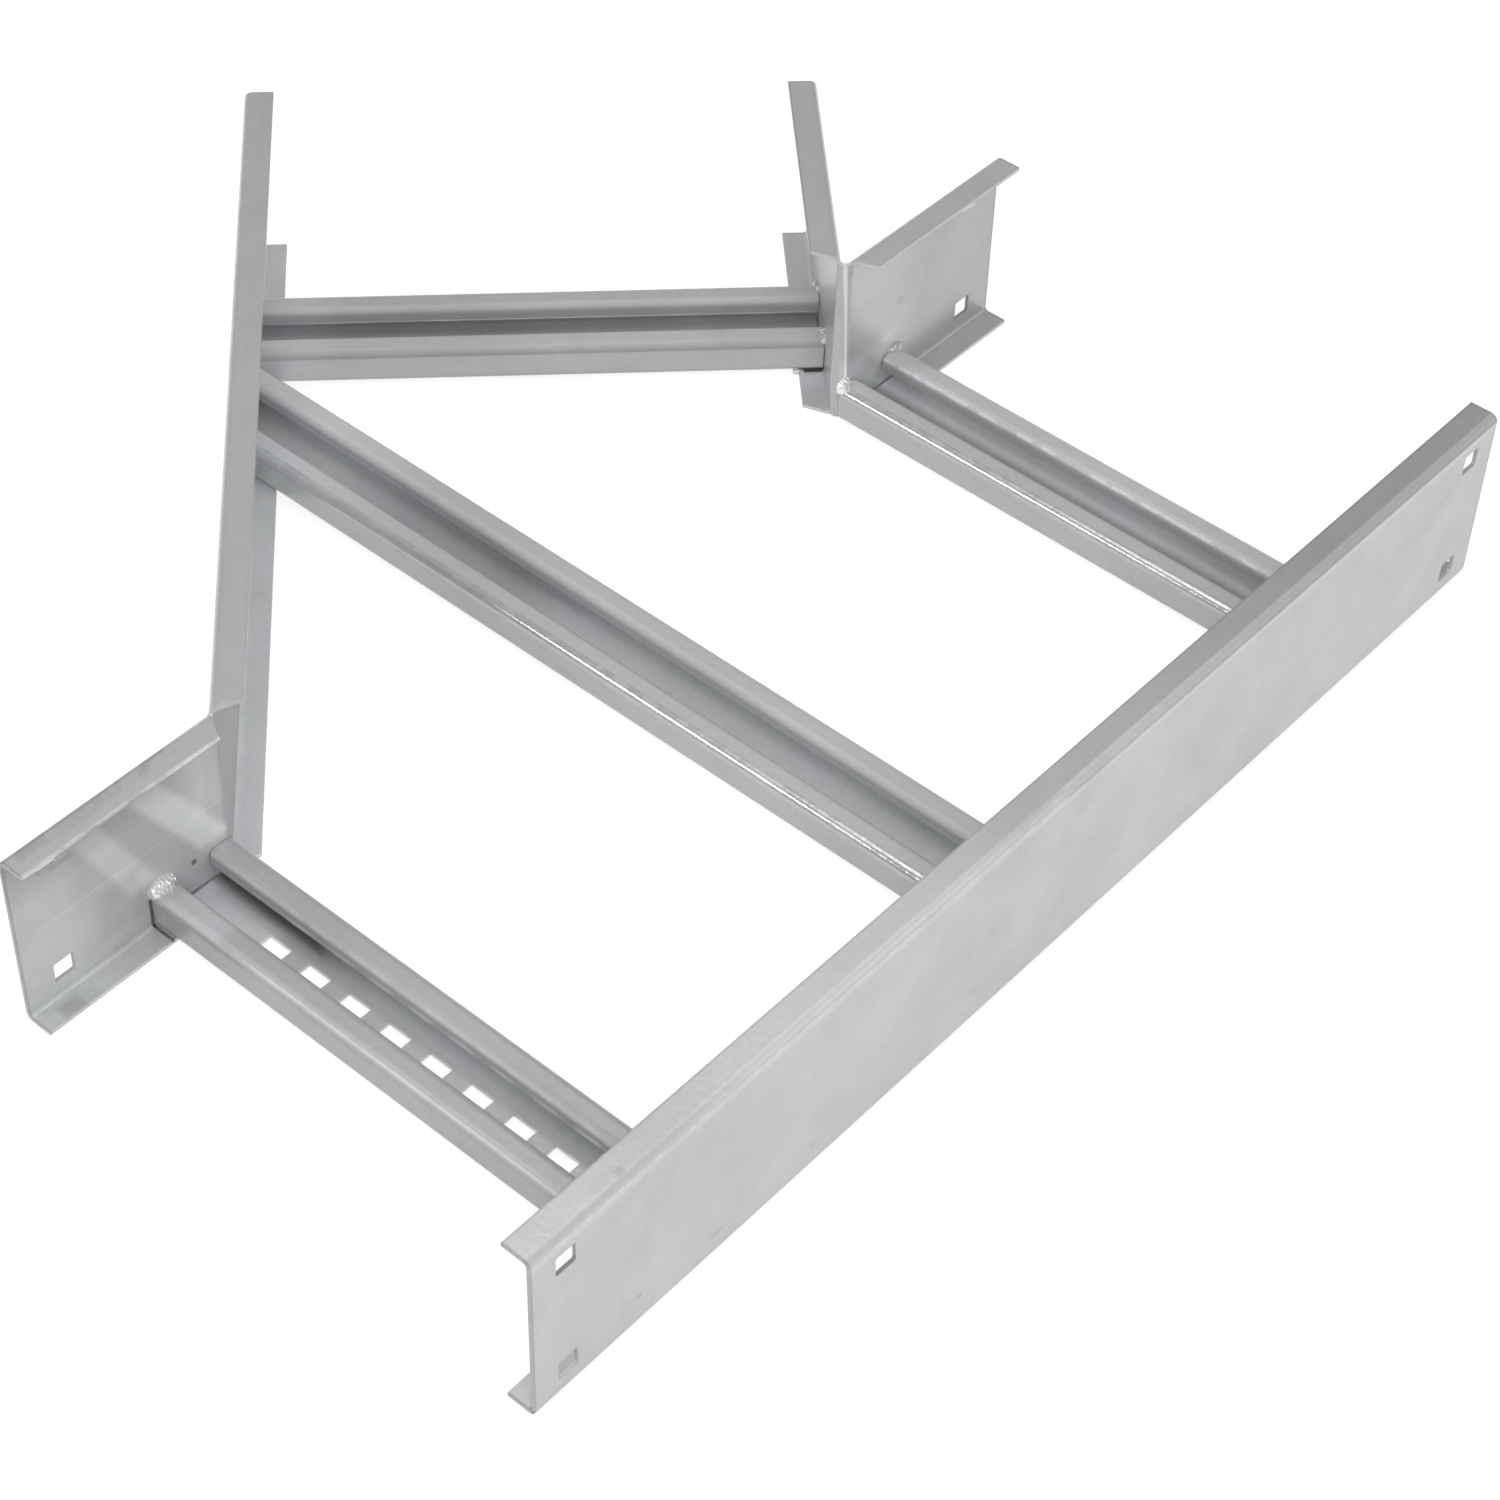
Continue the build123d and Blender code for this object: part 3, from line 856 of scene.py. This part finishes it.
# %% Marks of the branch rung
branch_rung_marks = [
    *rung_shade_rims,
    inside(1.05),
    lip(1, 1.16),
    lip(-1, 1.07),
    # painted light near the rung's end by the left branch rail
    mark((285, 0, 12), (10, 26, 14), (30, 2, 2), colour=1.2),
    near_wall_shade,
    return_face_shade,
    dull_near_shaded,
    dull_return_shaded,
    # a painted shadow line at the foot of its near wall
    mark((8.5, 22.6, 2.5), (6, 2.2, 0.7), (1, 1, 0.5), colour=0.2, metal=-0.4),
]
print("Marks on the branch rung:", len(branch_rung_marks))

# %% [markdown]
# ## Give every sheet its zinc
#
# The CAD sheets already have the right shape, so only their material is exchanged. The
# frames are matched to the sheets here, in the order that frame_number counts them.

# %% Give every sheet its zinc
sheet_frames = {
    "straight_rail": [leg_matrix("straight_rail")],
    "left_branch_rail": [leg_matrix("left_stub"), leg_matrix("left_branch")],
    "right_branch_rail": [leg_matrix("right_branch"), leg_matrix("right_stub")],
    "slotted_rung": [frame_matrix((slotted_x, 0), *ACROSS_RUN)],
    "long_rung": [frame_matrix((long_x, 0), *ACROSS_RUN)],
    "end_rung": [frame_matrix((end_x, 0), *ACROSS_RUN)],
    "branch_rung": [frame_matrix(branch_start, *ACROSS_BRANCH)],
}
marks = {
    "straight_rail": straight_rail_marks,
    "left_branch_rail": left_stub_painted_shading + left_leg_painted_shading + left_stub_traces_and_painted_light,
    "right_branch_rail": right_branch_rail_marks,
    "slotted_rung": slotted_rung_marks,
    "long_rung": long_rung_marks,
    "end_rung": end_rung_marks,
    "branch_rung": branch_rung_marks,
}
fold_places = {"left_branch_rail": CORNER.x + LEFT_STUB * MM}


def paint(part, material):
    """Gives a part one material in place of what it had."""
    part.data.materials.clear()
    part.data.materials.append(material)


for node_name, frames in sheet_frames.items():
    coat = sheet_material("zinc_" + node_name, frames, fold_places.get(node_name),
                          marks[node_name])
    paint(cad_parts[node_name], coat)
print("Sheets finished:", len(sheet_frames), "with", sum(map(len, marks.values())), "marks")

# %% [markdown]
# ## The weld beads
#
# A bead is a row of small melted scales, each laid half over the last, with blunt ends.
# The CAD model has smooth rods there, which is enough for their place and size. Modelling
# each scale by hand would be slow and too even. Here the beads follow a rule, so one
# Geometry Nodes tree makes them all: a line becomes a tube whose thickness follows the
# scales and closes at both ends, noise makes it uneven, and then the side that lies on
# the steel is pressed flat against the web and the rung.

# %% The tube with its scales
BEAD_RINGS = 64
BEAD_SIDES = 28
ROOT_MARGIN = 1.0001  # a little over 1, so that no root is taken of less than zero
BLUNT_POWER = 3.0  # the higher, the blunter the ends
SCALE_POWER = 2.0  # the higher, the sharper the step from scale to scale


def bead_radius(tree, given):
    """The tube's radius from end to end: blunt at both, with a step at each scale."""
    along = add(tree, "GeometryNodeSplineParameter").outputs["Factor"]
    from_middle = calculate(tree, "ABSOLUTE", calculate(tree, "MULTIPLY_ADD", along, 2.0, -1.0))
    towards_end = calculate(tree, "POWER", from_middle, BLUNT_POWER)
    blunt = calculate(tree, "SQRT", calculate(tree, "SUBTRACT", ROOT_MARGIN, towards_end))
    scales = calculate(tree, "DIVIDE", given["Length"], given["Scale Pitch"])
    in_scale = calculate(tree, "FRACT", calculate(tree, "MULTIPLY", along, scales))
    falling = calculate(tree, "POWER", in_scale, SCALE_POWER)
    fall = calculate(tree, "MULTIPLY", falling, given["Scale Depth"])
    smooth = calculate(tree, "MULTIPLY", blunt, given["Radius"])
    return calculate(tree, "MULTIPLY", smooth, calculate(tree, "SUBTRACT", 1.0, fall))


def bead_tube(tree, given):
    """A line along X that has become a closed tube with scales."""
    half_length = calculate(tree, "MULTIPLY", given["Length"], 0.5)
    start = add(tree, "ShaderNodeCombineXYZ", {"X": calculate(tree, "MULTIPLY", half_length, -1.0)})
    end = add(tree, "ShaderNodeCombineXYZ", {"X": half_length})
    line = add(tree, "GeometryNodeCurvePrimitiveLine",
               {"Start": start.outputs[0], "End": end.outputs[0]})
    rings = add(tree, "GeometryNodeResampleCurve", {"Curve": line.outputs[0], "Count": BEAD_RINGS})
    ring = add(tree, "GeometryNodeCurvePrimitiveCircle", {"Resolution": BEAD_SIDES, "Radius": 1.0})
    tube = add(tree, "GeometryNodeCurveToMesh",
               {"Curve": rings.outputs[0], "Profile Curve": ring.outputs[0],
                "Scale": bead_radius(tree, given), "Fill Caps": True})
    return tube.outputs[0]


print("A bead has", BEAD_RINGS, "rings of", BEAD_SIDES, "points")

# %% [markdown]
# Scales alone look turned on a lathe. So noise pushes the tube's points about, and its
# fourth dimension, the seed, makes each bead different. A real bead also fills the corner
# that it lies in. Here the points that would sink into the web or the rung are moved up
# to the steel, which follows the rung's rounded bend as a quarter circle.

# %% Uneven, and pressed on the steel
LUMPS_PER_MM = 0.35


def made_uneven(tree, given, tube):
    """The tube with its points pushed about by noise."""
    position = add(tree, "GeometryNodeInputPosition").outputs[0]
    lumps = add(tree, "ShaderNodeTexNoise",
                {"Vector": position, "W": given["Seed"], "Scale": LUMPS_PER_MM, "Detail": 2.0},
                noise_dimensions="4D").outputs["Color"]
    centred = on_vectors(tree, "SUBTRACT", lumps, (0.5, 0.5, 0.5))
    offset = scaled_by(tree, centred, given["Unevenness"])
    moved = add(tree, "GeometryNodeSetPosition", {"Geometry": tube, "Offset": offset})
    return moved.outputs[0]


def pressed_on_steel(tree, given, uneven):
    """The tube pressed against the web behind, and the rung with its bend below."""
    position = add(tree, "GeometryNodeInputPosition").outputs[0]
    at = add(tree, "ShaderNodeSeparateXYZ", {0: position}).outputs
    flat_from = calculate(tree, "ADD", given["Wall"], given["Corner"])
    into_bend = calculate(tree, "MAXIMUM", calculate(tree, "SUBTRACT", flat_from, at["X"]), 0.0)
    into_bend = calculate(tree, "MINIMUM", into_bend, given["Corner"])
    squares = calculate(tree, "SUBTRACT",
                        calculate(tree, "MULTIPLY", given["Corner"], given["Corner"]),
                        calculate(tree, "MULTIPLY", into_bend, into_bend))
    bend = calculate(tree, "SUBTRACT", calculate(tree, "SQRT", squares), given["Corner"])
    steel = calculate(tree, "SUBTRACT", bend, given["Sink"])
    back = calculate(tree, "MULTIPLY", given["Sink"], -1.0)
    pressed = add(tree, "ShaderNodeCombineXYZ",
                  {"X": at["X"], "Y": calculate(tree, "MAXIMUM", at["Y"], back),
                   "Z": calculate(tree, "MAXIMUM", at["Z"], steel)}).outputs[0]
    moved = add(tree, "GeometryNodeSetPosition", {"Geometry": uneven, "Position": pressed})
    return moved.outputs[0]


print("Lumps of about", round(1 / LUMPS_PER_MM, 1), "mm make the beads uneven")

# %% [markdown]
# The tree joins the steps. It ends by merging the points that were pressed together and
# by giving the bead its material, which is an input as the sizes are.

# %% The bead tree
BEAD_INPUTS = ("Length", "Radius", "Scale Pitch", "Scale Depth", "Unevenness", "Wall",
               "Corner", "Sink", "Seed")
MERGE_WITHIN = 0.02


def bead_tree():
    """Geometry Nodes for one bead along X, with the web below Y and the rung below Z."""
    tree = bpy.data.node_groups.new("weld_bead", "GeometryNodeTree")
    face = tree.interface
    face.new_socket("Geometry", in_out="INPUT", socket_type="NodeSocketGeometry")
    for name in BEAD_INPUTS:
        face.new_socket(name, in_out="INPUT", socket_type="NodeSocketFloat")
    face.new_socket("Material", in_out="INPUT", socket_type="NodeSocketMaterial")
    face.new_socket("Geometry", in_out="OUTPUT", socket_type="NodeSocketGeometry")
    given = add(tree, "NodeGroupInput").outputs

    uneven = made_uneven(tree, given, bead_tube(tree, given))
    on_steel = pressed_on_steel(tree, given, uneven)
    clean = add(tree, "GeometryNodeMergeByDistance",
                {"Geometry": on_steel, "Distance": MERGE_WITHIN})
    smooth = add(tree, "GeometryNodeSetShadeSmooth",
                 {"Geometry": clean.outputs[0], "Shade Smooth": True})
    real = add(tree, "GeometryNodeRealizeInstances", {"Geometry": smooth.outputs[0]})
    coated = add(tree, "GeometryNodeSetMaterial",
                 {"Geometry": real.outputs[0], "Material": given["Material"]})
    add(tree, "NodeGroupOutput", {"Geometry": coated.outputs[0]})
    return tree


weld_bead = bead_tree()
print("Bead tree has", len(weld_bead.nodes), "nodes")

# %% [markdown]
# Most beads are as grey as the sheets. The two nearest to the folds are almost white:
# their white colour is a painted highlight for the bright shine that they show, and their
# rounded scales mirror the lamps too. Both materials are a half metal with a fine uneven
# skin, and only the colour and the shine differ.

# %% Materials of the beads
SPOTS_PER_METRE = 260.0
SPOT_SHADE = (0.93, 1.03)
SKIN_PER_METRE = 500.0


def bead_material(name, colour, metallic, roughness):
    """Zinc with a slightly uneven skin. For the white beads, the colour is a painted highlight."""
    material = bpy.data.materials.new(name)
    material.use_nodes = True
    tree = material.node_tree
    tree.nodes.clear()
    spot = add(tree, "ShaderNodeTexCoord").outputs["Object"]
    shade = swing(tree, noise(tree, spot, SPOTS_PER_METRE, 2.0), *SPOT_SHADE)
    tint = scaled_by(tree, colour, shade)
    skin = noise(tree, spot, SKIN_PER_METRE, 1.0)
    bump = {"Height": skin, "Strength": 1.0, "Distance": BUMP_DEPTH}
    normal = add(tree, "ShaderNodeBump", bump).outputs[0]
    look = {"Base Color": tint, "Metallic": metallic, "Roughness": roughness, "Normal": normal}
    shader = add(tree, "ShaderNodeBsdfPrincipled", look)
    add(tree, "ShaderNodeOutputMaterial", {"Surface": shader.outputs[0]})
    return material


bead_grey = bead_material("bead_grey", (0.66, 0.67, 0.67), 0.5, 0.3)
bead_highlight_white = bead_material("bead_highlight_white", (0.97, 0.97, 0.97), 0.6, 0.28)
print("Bead materials:", bead_grey.name, bead_highlight_white.name)

# %% [markdown]
# A bead is made in millimetres along X, because noise and small distances are easier to
# judge there. Then the modifier's result becomes a plain mesh, and a matrix carries it to
# its place. Where the matrix mirrors it, its faces are turned outwards again.

# %% Lay a bead
# these beads take the white colour, a painted highlight
HIGHLIGHT_WHITE_BEADS = ("bead_slotted_rung_left_near", "bead_end_rung_right_near")
NO_BEND = -1000.0  # a wall so far off that the steel below is flat
BEAD_SHAPE = {"Scale Pitch": 2.2, "Scale Depth": 0.14, "Unevenness": 2.4, "Wall": NO_BEND,
              "Corner": RUNG_CORNER, "Sink": 0.8}


def lay_bead(name, matrix, sizes, seed):
    """Makes a bead in millimetres along X, then carries it to its place by the matrix."""
    bead = bpy.data.objects.new(name, bpy.data.meshes.new(name))
    bpy.context.scene.collection.objects.link(bead)
    maker = bead.modifiers.new("bead", "NODES")
    maker.node_group = weld_bead
    coat = bead_highlight_white if name in HIGHLIGHT_WHITE_BEADS else bead_grey
    values = {**BEAD_SHAPE, "Seed": seed, "Material": coat, **sizes}
    for item in weld_bead.interface.items_tree:
        if item.in_out == "INPUT" and item.name in values:
            maker[item.identifier] = values[item.name]
    evaluated = bead.evaluated_get(bpy.context.evaluated_depsgraph_get())
    mesh = bpy.data.meshes.new_from_object(evaluated)
    bead.modifiers.remove(maker)
    bead.data = mesh
    mesh.name = name
    mesh.transform(matrix)
    if matrix.determinant() < 0:
        mesh.flip_normals()
    return bead


def axes_matrix(place, along, off_web, off_rung):
    """A matrix from a place and three directions, in a leg's frame."""
    turn = Matrix((along, off_web, off_rung)).transposed().to_4x4()
    return Matrix.Translation(place) @ turn


print("White beads:", ", ".join(HIGHLIGHT_WHITE_BEADS))

# %% [markdown]
# Three kinds of bead hold the rungs. Most lie on a rung's lip along the web. The two on
# the far side of the slotted rung climb its wall instead. One small bead sits at the foot
# of the branch rung, across the edge of the bottom flange.

# %% Three kinds of bead
SMALL_BEAD = (10.0, 3.2)  # length and radius
FOOT_BEAD = (6.0, 1.8)
BEAD_SIZES = {
    "bead_slotted_rung_left_near": (15.0, 5.6),
    "bead_end_rung_right_near": (8.5, 4.4),
}
BEAD_OVERHANG = 1.0  # how far a bead on a lip reaches past the rung's wall
RUNG_MIDDLE = 12.0  # height of the middle of a rung


def lip_bead(name, leg, wall, inwards, seed):
    """On top of a lip, from just past the rung's wall inwards."""
    length, radius = BEAD_SIZES.get(name, SMALL_BEAD)
    place = (wall + inwards * (length / 2 - BEAD_OVERHANG), SHEET, RUNG_TOP)
    matrix = leg_matrix(leg) @ axes_matrix(place, (inwards, 0, 0), (0, 1, 0), (0, 0, 1))
    sizes = {"Length": length, "Radius": radius, "Wall": BEAD_OVERHANG - length / 2}
    return lay_bead(name, matrix, sizes, seed)


def wall_bead(name, leg, wall, seed):
    """Up the outside of a rung's wall."""
    place = (wall, SHEET, RUNG_MIDDLE)
    matrix = leg_matrix(leg) @ axes_matrix(place, (0, 0, 1), (0, 1, 0), (1, 0, 0))
    length, radius = SMALL_BEAD
    return lay_bead(name, matrix, {"Length": length, "Radius": radius}, seed)


def foot_bead(name, leg, wall, seed):
    """Across the edge of the bottom flange, at the foot of a rung's wall."""
    place = (wall, RAIL_FLANGE, SHEET)
    matrix = leg_matrix(leg) @ axes_matrix(place, (0, 1, 0), (0, 0, 1), (-1, 0, 0))
    length, radius = FOOT_BEAD
    return lay_bead(name, matrix, {"Length": length, "Radius": radius}, seed)


print("Length and radius of most beads:", SMALL_BEAD, "mm")

# %% [markdown]
# Each bead is named for its rung, its rail and its side, as the CAD bead that it stands
# for is. The near and far walls of the rungs give the places of nearly all of them.

# %% Lay all the beads
def along_left_branch(x):
    """Where a wall across the run meets the left branch rail, along its leg."""
    return (x - LEFT_STUB) / DIAGONAL - SHEET


slotted_near, slotted_far = slotted_x - half_rung, slotted_x + half_rung
lip_places = {  # leg, place of the rung's wall along it, and the way inwards
    "slotted_rung_straight_near": ("straight_rail", slotted_near, 1),
    "slotted_rung_left_near": ("left_stub", LEFT_STUB - slotted_near, -1),
}
for side, inwards in (("near", 1), ("far", -1)):
    long_wall, end_wall, branch_wall = (
        middle - inwards * half_rung for middle in (long_x, end_x, branch_reach))
    lip_places.update({
        "long_rung_straight_" + side: ("straight_rail", long_wall, inwards),
        "long_rung_left_" + side: ("left_branch", along_left_branch(long_wall), inwards),
        "branch_rung_right_" + side: ("right_branch", branch_wall, inwards),
        "branch_rung_left_" + side: ("left_branch", branch_wall + BRANCH_WIDTH, inwards),
        "end_rung_straight_" + side: ("straight_rail", end_wall, inwards),
        "end_rung_right_" + side: ("right_stub", end_wall - RIGHT_FOLD, inwards),
    })

beads = {}
for seed, (place, (leg, wall, inwards)) in enumerate(lip_places.items()):
    beads[place] = lip_bead("bead_" + place, leg, wall, inwards, float(seed))
wall_places = {
    "slotted_rung_straight_far": ("straight_rail", slotted_far),
    "slotted_rung_left_far": ("left_branch", along_left_branch(slotted_far)),
}
for place, (leg, wall) in wall_places.items():
    beads[place] = wall_bead("bead_" + place, leg, wall, float(len(beads)))
beads["branch_rung_right_foot"] = foot_bead(
    "bead_branch_rung_right_foot", "right_branch", wall_by_branch_rung, float(len(beads)))
one_bead = beads["long_rung_left_near"]
print("Beads:", len(beads), "with about", len(one_bead.data.polygons), "faces each")

# %% [markdown]
# ## Hand the beads to the fitting
#
# Each rippled bead stands for one smooth CAD bead, which is hidden, and rides on the
# fitting's only body.

# %% Replace the smooth beads
for place, bead in beads.items():
    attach(bead, "root")
    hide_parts("weld_" + place)
print("Replaced", len(beads), "smooth beads")
